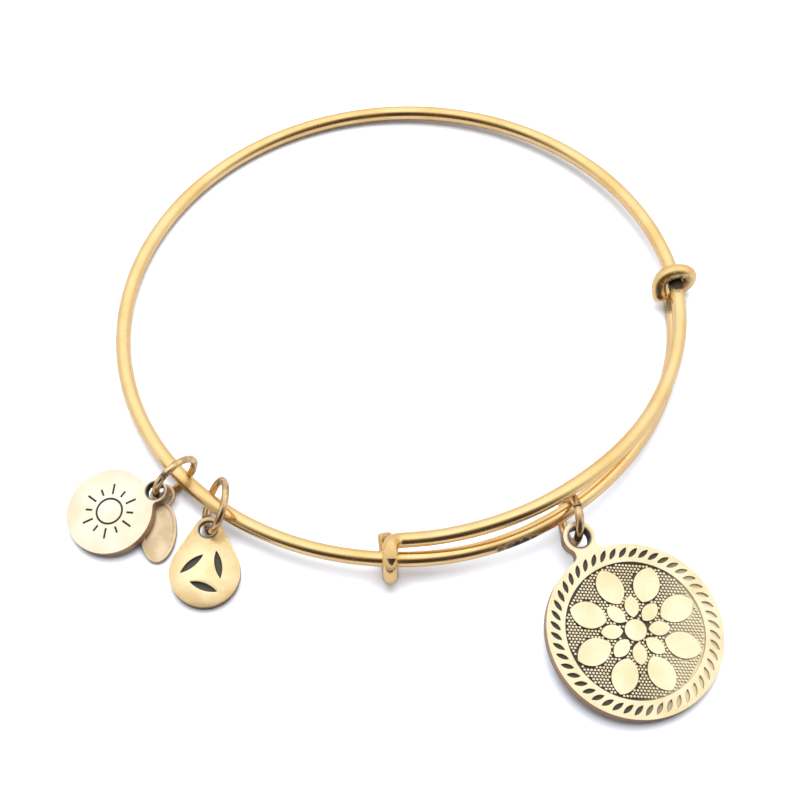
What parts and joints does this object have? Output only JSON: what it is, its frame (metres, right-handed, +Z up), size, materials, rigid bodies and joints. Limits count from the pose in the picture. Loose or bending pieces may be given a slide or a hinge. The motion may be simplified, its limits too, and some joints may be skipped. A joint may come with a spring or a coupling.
{
  "type": "charm bangle",
  "caption": "Adjustable wire bangle with a wrapped overlap, jump rings, a large round medallion and small round, oval and teardrop charms lying beside it.",
  "frame": {"origin": "centre of the wrist opening, on the surface that the bangle lies on", "axes": "+Z up through the wrist opening, -Y towards the charms, +X towards the coil of the overlap"},
  "size_m": [0.0684, 0.0759, 0.007],
  "materials": {
    "wire": "satin, antique gilt",
    "ring": "polished, antique gilt",
    "medallion": "satin, pale gilt with a dark oxidised field",
    "tag": "satin, pale gilt",
    "drop": "satin, worn gilt with dark motifs"
  },
  "bodies": {
    "root": {"bangle_wire": "wire", "jump_ring_tags": "ring", "jump_ring_drop": "ring", "jump_ring_medallion": "ring", "medallion": "medallion", "round_tag": "tag", "oval_tag": "tag", "teardrop": "drop"}
  },
  "joints": []
}
